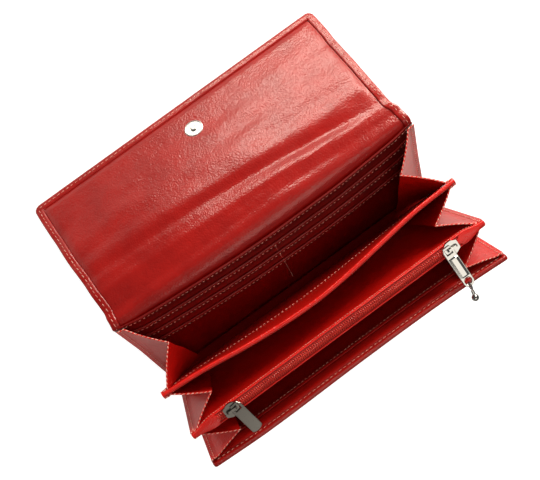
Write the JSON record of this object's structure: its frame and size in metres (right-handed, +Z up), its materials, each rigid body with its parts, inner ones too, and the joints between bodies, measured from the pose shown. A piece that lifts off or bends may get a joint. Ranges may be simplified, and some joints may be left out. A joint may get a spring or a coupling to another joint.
{
  "type": "flap purse",
  "caption": "Long red leather flap purse standing open: card slots, divider, zipped coin pocket, V-folded gussets and a press-stud flap.",
  "frame": {"origin": "middle of the bottom strip's underside, on the floor", "axes": "+X along the purse's length, +Y towards the back panel and the folded-back flap, +Z up"},
  "size_m": [0.19, 0.1582, 0.0994],
  "materials": {
    "red_leather": "smooth, polished",
    "dark_red_leather": "smooth, thin split leather",
    "red_pocket_cloth": "plain weave",
    "red_zip_tape": "woven tape with coil teeth",
    "grey_board": "pressed fibre board",
    "bright_nickel": "bright nickel plate",
    "satin_nickel": "satin dark nickel plate"
  },
  "bodies": {
    "base": {"bottom_cover": "red_leather", "bottom_lining": "dark_red_leather"},
    "back_panel": {"back_cover": "red_leather", "back_board": "grey_board", "back_lining": "red_leather", "card_slot_1": "dark_red_leather", "card_slot_2": "dark_red_leather", "card_slot_3": "dark_red_leather", "card_slot_4": "dark_red_leather", "back_fold_roll": "red_leather", "gusset_1_left": "dark_red_leather", "gusset_1_right": "dark_red_leather"},
    "spine": {"spine_cover": "red_leather", "spine_lining": "red_leather", "flap_fold_roll": "red_leather"},
    "flap": {"flap_cover": "red_leather", "flap_board": "grey_board", "flap_lining": "red_leather", "flap_binding": "red_leather", "snap_stud": "bright_nickel"},
    "divider": {"divider_skin": "red_leather", "divider_board": "grey_board", "gusset_2_left": "dark_red_leather", "gusset_2_right": "dark_red_leather"},
    "zip_pocket": {"zip_pocket_back": "red_leather", "zip_pocket_front": "red_leather", "coin_pocket_cloth": "red_pocket_cloth", "zip_tape_back": "red_zip_tape", "zip_tape_front": "red_zip_tape", "zip_teeth_back": "red_zip_tape", "zip_teeth_front": "red_zip_tape", "zip_end_patch_left": "red_leather", "zip_end_patch_right": "red_leather"},
    "front_panel": {"front_cover": "red_leather", "front_board": "grey_board", "front_lining": "red_leather", "front_slip_pocket": "dark_red_leather", "snap_socket": "bright_nickel", "gusset_3_left": "dark_red_leather", "gusset_3_right": "dark_red_leather"},
    "slider_a": {"slider_a": "satin_nickel", "slider_a_lower_plate": "satin_nickel"},
    "slider_b": {"slider_b": "bright_nickel", "slider_b_lower_plate": "bright_nickel"},
    "pull_a": {"pull_a": "satin_nickel"},
    "pull_b": {"pull_b": "bright_nickel"},
    "charm": {"charm_ring": "bright_nickel", "charm_ball": "bright_nickel"}
  },
  "joints": [
    {"name": "concertina", "type": "hinge", "parent": "base", "child": "back_panel", "pos_m": [0, 0.0118, 0.0015], "axis": [1, 0, 0], "range_deg": [-3, 41], "deforming": ["gusset_1_left", "gusset_1_right", "gusset_2_left", "gusset_2_right", "gusset_3_left", "gusset_3_right"]},
    {"name": "divider_fold", "type": "hinge", "parent": "base", "child": "divider", "pos_m": [0, 0.00315, 0.0023], "axis": [1, 0, 0], "range_deg": [-1.7, 21]},
    {"name": "zip_pocket_fold", "type": "hinge", "parent": "base", "child": "zip_pocket", "pos_m": [0, -0.0034, 0.0023], "axis": [1, 0, 0], "range_deg": [-0.8, 8.3]},
    {"name": "front_fold", "type": "hinge", "parent": "base", "child": "front_panel", "pos_m": [0, -0.0118, 0.0015], "axis": [-1, 0, 0], "range_deg": [-15, 0.6], "deforming": ["gusset_3_left", "gusset_3_right"]},
    {"name": "flap_hinge", "type": "hinge", "parent": "back_panel", "child": "spine", "pos_m": [0, 0.07503, 0.07373], "axis": [1, 0, 0], "range_deg": [-20, 186.8]},
    {"name": "flap_fold", "type": "hinge", "parent": "spine", "child": "flap", "pos_m": [0, 0.09451, 0.05211], "axis": [1, 0, 0], "range_deg": [-30, 92.82]},
    {"name": "slider_a_travel", "type": "slide", "parent": "zip_pocket", "child": "slider_a", "axis": [-1, 0, 0], "range_m": [-0.064, 0.0025]},
    {"name": "slider_b_travel", "type": "slide", "parent": "zip_pocket", "child": "slider_b", "axis": [1, 0, 0], "range_m": [-0.064, 0.0015]},
    {"name": "pull_a_swivel", "type": "hinge", "parent": "slider_a", "child": "pull_a", "pos_m": [-0.06695, 0.00961, 0.09257], "axis": [0, 0.1426, 0.9898], "range_deg": [-45, 80]},
    {"name": "pull_b_swivel", "type": "hinge", "parent": "slider_b", "child": "pull_b", "pos_m": [0.06935, 0.00961, 0.09257], "axis": [0, -0.1426, -0.9898], "range_deg": [-38, 70]},
    {"name": "charm_swivel", "type": "hinge", "parent": "pull_b", "child": "charm", "pos_m": [0.06935, -0.00932, 0.0958], "axis": [0, -0.1685, -0.9857], "range_deg": [-60, 40]}
  ],
  "couplings": [
    {"joint": "divider_fold", "follows": "concertina", "ratio": 0.50971},
    {"joint": "zip_pocket_fold", "follows": "concertina", "ratio": 0.19903}
  ]
}
